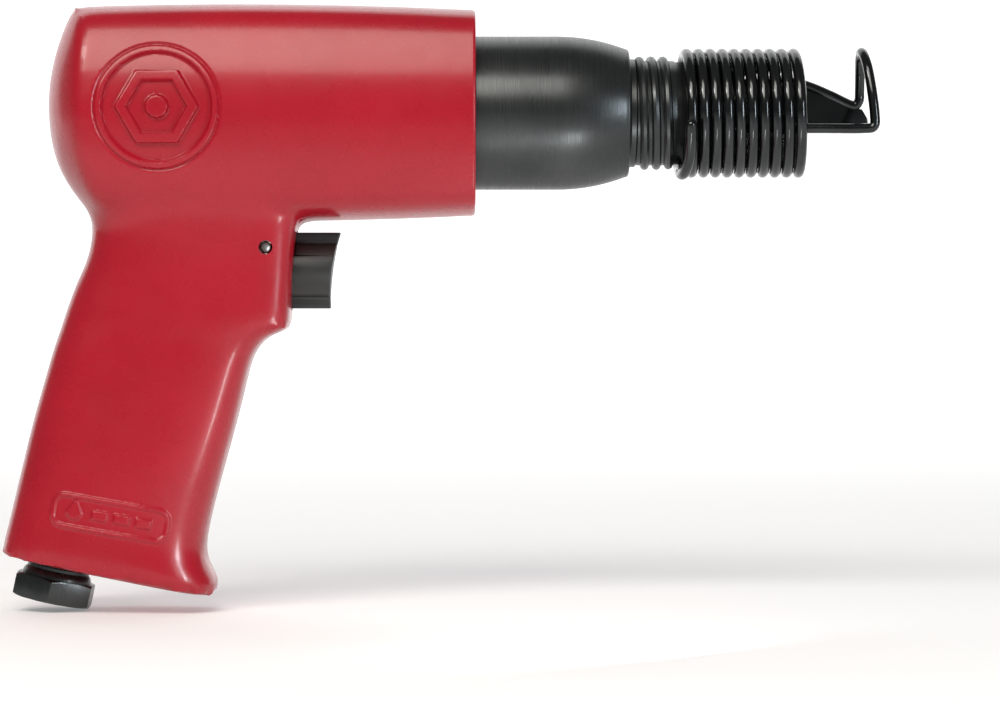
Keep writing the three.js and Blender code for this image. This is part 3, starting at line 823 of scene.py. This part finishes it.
def black_nylon():
    """Moulded black nylon: satin, finely grained, with pale scuffs where the finger works."""
    material, nodes, links, shader = finish_of("black_nylon")
    cloud = noise_at(nodes, links, 90, 4)
    shade = ramp(nodes, links, cloud, [(0.3, (0.011, 0.012, 0.012)), (0.75, (0.026, 0.028, 0.027))])
    links.new(shade, shader.inputs["Base Color"])
    links.new(ramp(nodes, links, cloud, [(0.3, 0.34), (0.75, 0.48)]), shader.inputs["Roughness"])
    grain = noise_at(nodes, links, 2200, 2)
    links.new(bump(nodes, links, grain, 0.12, 0.0002), shader.inputs["Normal"])
    return material


give(trigger, black_nylon())
smooth_shading(trigger, 40)

pin_bm = bmesh.new()
end, chamfer = PIN["half_length"], 0.3
pin_wall = [(-end, 0.85), (-end, 1.1), (chamfer - end, 1.4), (end - chamfer, 1.4), (end, 1.1)]
turned(pin_bm, pin_wall + [(end, 0.85), (-end, 0.85)], 40)
turn_across = Matrix.Rotation(math.pi / 2, 4, "Z")
pin_place = Matrix.Translation(at(PIN["x"], 0, PIN["z"])) @ turn_across @ Matrix.Translation(-at(0, 0, 0))
bmesh.ops.transform(pin_bm, matrix=pin_place, verts=pin_bm.verts)
pin = new_piece("roll_pin", pin_bm, "housing")
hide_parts("trigger_pin")


def bright_metal(name, dark, light, rough, scale=700):
    """Bare machined metal with fine scratches; dark and light are the ends of its colour."""
    material, nodes, links, shader = finish_of(name)
    cloud = noise_at(nodes, links, scale, 4)
    links.new(ramp(nodes, links, cloud, [(0.3, dark), (0.75, light)]), shader.inputs["Base Color"])
    links.new(ramp(nodes, links, cloud, [(0.3, rough), (0.75, rough + 0.14)]), shader.inputs["Roughness"])
    shader.inputs["Metallic"].default_value = 1
    grain = noise_at(nodes, links, 3000, 2)
    links.new(bump(nodes, links, grain, 0.08, 0.0002), shader.inputs["Normal"])
    return material


give(pin, bright_metal("pin_steel", (0.34, 0.33, 0.31), (0.5, 0.49, 0.47), 0.3))
smooth_shading(pin, 35)


# ------------------------------------------------------------------ air inlet
# The inlet bushing is turned from hexagon steel bar and blacked. Its neck screws into the grip,
# its chamfered hexagon takes a 19 mm spanner, and its threaded hole takes the hose's nipple.

INLET = {"neck": 3.5, "end": 9.25, "across": 18.8}
hexagon_bm = bmesh.new()
to_corner = INLET["across"] / 3 ** 0.5 * mm
bmesh.ops.create_circle(hexagon_bm, cap_ends=True, segments=6, radius=to_corner)
place_hexagon = Matrix.Translation(at(INLET["neck"], 0, 0)) @ Matrix.Rotation(math.pi / 2, 4, "Y")
bmesh.ops.transform(hexagon_bm, matrix=place_hexagon, verts=hexagon_bm.verts)
grown = bmesh.ops.extrude_face_region(hexagon_bm, geom=hexagon_bm.faces[:])["geom"]
grown = [part for part in grown if isinstance(part, bmesh.types.BMVert)]
bmesh.ops.translate(hexagon_bm, verts=grown, vec=((INLET["end"] - INLET["neck"]) * mm, 0, 0))
bmesh.ops.recalc_face_normals(hexagon_bm, faces=hexagon_bm.faces)
bushing = new_piece("bushing_hexagon", hexagon_bm, "housing")

rounded_off = bmesh.new()
near, far, chamfer = INLET["neck"], INLET["end"], 0.6
hexagon_turned = [(near, 0), (near, 9.7), (near + chamfer, 10.9)]
hexagon_turned += [(far - chamfer, 10.9), (far, 9.7), (far, 0)]
turned(rounded_off, hexagon_turned, 128)
cut(bushing, rounded_off, "INTERSECT")
hole = bmesh.new()
turned(hole, [(1, 0), (1, 6.3), (8.4, 6.3), (9.6, 7.4), (9.6, 0)], 96)
cut(bushing, hole)
hexagon_bm = bmesh.new()
hexagon_bm.from_mesh(bushing.data)
at_inlet(hexagon_bm)
hexagon_bm.to_mesh(bushing.data)
hexagon_bm.free()
soft = bushing.modifiers.new("soft_edges", "BEVEL")
soft.width = 0.25 * mm
soft.segments = 2
soft.limit_method = "ANGLE"
soft.angle_limit = math.radians(25)
settle(bushing)
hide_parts("inlet_bushing")

neck_bm = bmesh.new()
neck = [(-14, 6.3), (-14, 7.9), (-13.5, 8.35)]
for i in range(9):
    ridge_x = -12.5 + i * 1.41
    neck += [(ridge_x, 8.35), (ridge_x + 0.5, 7.75), (ridge_x + 0.7, 7.75), (ridge_x + 1.2, 8.35)]
neck += [(0.4, 8.35), (0.8, 7.7), (1.5, 7.7), (2.1, 8.3), (3, 8.6), (3.7, 8.6), (3.7, 6.3), (-14, 6.3)]
turned(neck_bm, neck, 96)
at_inlet(neck_bm)
neck_piece = new_piece("bushing_neck", neck_bm, "housing")

inlet_thread_points = helix(6.3, -1.5, 1.41, 7, 0, 48)
inlet_thread_bm = wire_mesh("inlet_thread", inlet_thread_points, 0.5, 8)
at_inlet(inlet_thread_bm)
inlet_thread = new_piece("bushing_thread", inlet_thread_bm, "housing")
for part in (bushing, neck_piece, inlet_thread):
    give(part, steel)
    smooth_shading(part, 30)


# ------------------------------------------------------------------ pieces inside
# The piston, the distributing valve, the throttle, its springs and the seals are out of sight in
# the housing. They keep their shapes and get their metals and rubber.


def black_rubber():
    """Moulded nitrile rubber with a faint bloom."""
    material, nodes, links, shader = finish_of("black_rubber")
    cloud = noise_at(nodes, links, 400, 4)
    shade = ramp(nodes, links, cloud, [(0.3, (0.010, 0.010, 0.010)), (0.75, (0.022, 0.022, 0.021))])
    links.new(shade, shader.inputs["Base Color"])
    links.new(ramp(nodes, links, cloud, [(0.3, 0.6), (0.75, 0.8)]), shader.inputs["Roughness"])
    return material


inner_finishes = {
    "ground_steel": bright_metal("ground_steel", (0.5, 0.51, 0.52), (0.62, 0.63, 0.64), 0.22),
    "bright_spring": bright_metal("bright_spring", (0.42, 0.42, 0.42), (0.56, 0.56, 0.55), 0.25),
    "brass": bright_metal("brass", (0.5, 0.33, 0.1), (0.62, 0.43, 0.15), 0.28),
    "rubber": black_rubber(),
    "spring_steel": wire_finish,
}
for row in frame["record"]["subparts"]:
    node = frame["nodes"][row["node"]]
    if not node.hide_render and row["material_slot"] in inner_finishes:
        give(node, inner_finishes[row["material_slot"]])


# ------------------------------------------------------------------ studio
# A pale sweep carrying painted light: it glows more towards the back, and its colour is painted darker at
# the front as painted shade.
# A broad soft light high in front and one over the wall, two small lights at the right, and a long lens
# square to the side.

floor_level = cad_box[0][2] - 0.5 * mm
sweep_bm = bmesh.new()
profile = [(-3, 0), (2.2, 0)]
for i in range(1, 13):
    turn = i / 12 * math.pi / 2
    profile.append((2.2 + 0.8 * math.sin(turn), 0.8 - 0.8 * math.cos(turn)))
profile.append((3, 3))
line = [sweep_bm.verts.new((-3.5, y, floor_level + z)) for y, z in profile]
edges = [sweep_bm.edges.new(pair) for pair in zip(line, line[1:])]
grown = bmesh.ops.extrude_edge_only(sweep_bm, edges=edges)["geom"]
grown = [part for part in grown if isinstance(part, bmesh.types.BMVert)]
bmesh.ops.translate(sweep_bm, verts=grown, vec=(7, 0, 0))
sweep_mesh = bpy.data.meshes.new("sweep")
sweep_bm.to_mesh(sweep_mesh)
sweep_bm.free()
sweep = bpy.data.objects.new("sweep", sweep_mesh)
bpy.context.scene.collection.objects.link(sweep)
sweep.data.shade_smooth()
# The paper glows though it is no lamp: painted light.
painted_light_paper, nodes, links, shader = finish_of("paper_with_painted_glow_and_shade")
shader.inputs["Roughness"].default_value = 0.9
shader.inputs["Emission Color"].default_value = (1, 1, 1, 1)
place = nodes.new("ShaderNodeTexCoord")
depth = nodes.new("ShaderNodeSeparateXYZ")
links.new(place.outputs["Object"], depth.inputs["Vector"])
# Painted light: the glow rises from the front of the paper to the back. Painted shade: the paper's colour
# is darker towards the front.
for near, far, low, high, socket in (
    (0.1, 2.4, 0.2, 0.85, "Emission Strength"),
    (-0.42, -0.2, 0.3, 0.85, "Base Color"),
):
    spread = nodes.new("ShaderNodeMapRange")
    spread.inputs["From Min"].default_value = near
    spread.inputs["From Max"].default_value = far
    spread.inputs["To Min"].default_value = low
    spread.inputs["To Max"].default_value = high
    links.new(depth.outputs["Y"], spread.inputs["Value"])
    links.new(spread.outputs["Result"], shader.inputs[socket])
give(sweep, painted_light_paper)


def soft_light(name, place, aim, size, power, colour):
    """A rectangular soft light at a place, turned to where it aims."""
    lamp = bpy.data.lights.new(name, "AREA")
    lamp.shape = "RECTANGLE"
    lamp.size, lamp.size_y = size
    lamp.energy = power
    lamp.color = colour
    holder = bpy.data.objects.new(name, lamp)
    holder.location = place
    holder.rotation_euler = (Vector(aim) - Vector(place)).to_track_quat("-Z", "Y").to_euler()
    holder.visible_camera = False
    bpy.context.scene.collection.objects.link(holder)


soft_light("key", (-0.2, -0.75, 0.66), (0, 0, 0), (0.62, 0.5), 5.8, (1, 0.94, 0.86))
soft_light("key_core", (-0.52, -0.62, 0.58), (0, 0, 0), (0.3, 0.14), 2, (1, 0.96, 0.9))
soft_light("right", (0.68, -0.66, 0.12), (0.04, 0, 0.03), (0.12, 0.34), 2.6, (0.84, 0.92, 1))
grip_edge = (0.055, -0.12, -0.052)
soft_light("low_right", grip_edge, (-0.05, -0.014, -0.02), (0.012, 0.045), 0.04, (1, 1, 1))
soft_light("ceiling", (0, 0.95, 1.2), (0, 0.8, 0), (2, 0.8), 6, (1, 1, 1))
world = bpy.data.worlds.new("studio")
world.use_nodes = True
world.node_tree.nodes["Background"].inputs["Color"].default_value = (1, 1, 1, 1)
world.node_tree.nodes["Background"].inputs["Strength"].default_value = 0.16
bpy.context.scene.world = world
bpy.context.scene.view_settings.view_transform = "Standard"

lens = bpy.data.cameras.new("camera")
lens.lens = 123
lens.sensor_width = 36
lens.clip_end = 20
lens.shift_x = 0.06
lens.shift_y = -0.0425
camera = bpy.data.objects.new("camera", lens)
camera.location = at(-8.7, -850, -48.7)
camera.rotation_euler = (math.pi / 2, 0, 0)
bpy.context.scene.collection.objects.link(camera)
bpy.context.scene.camera = camera
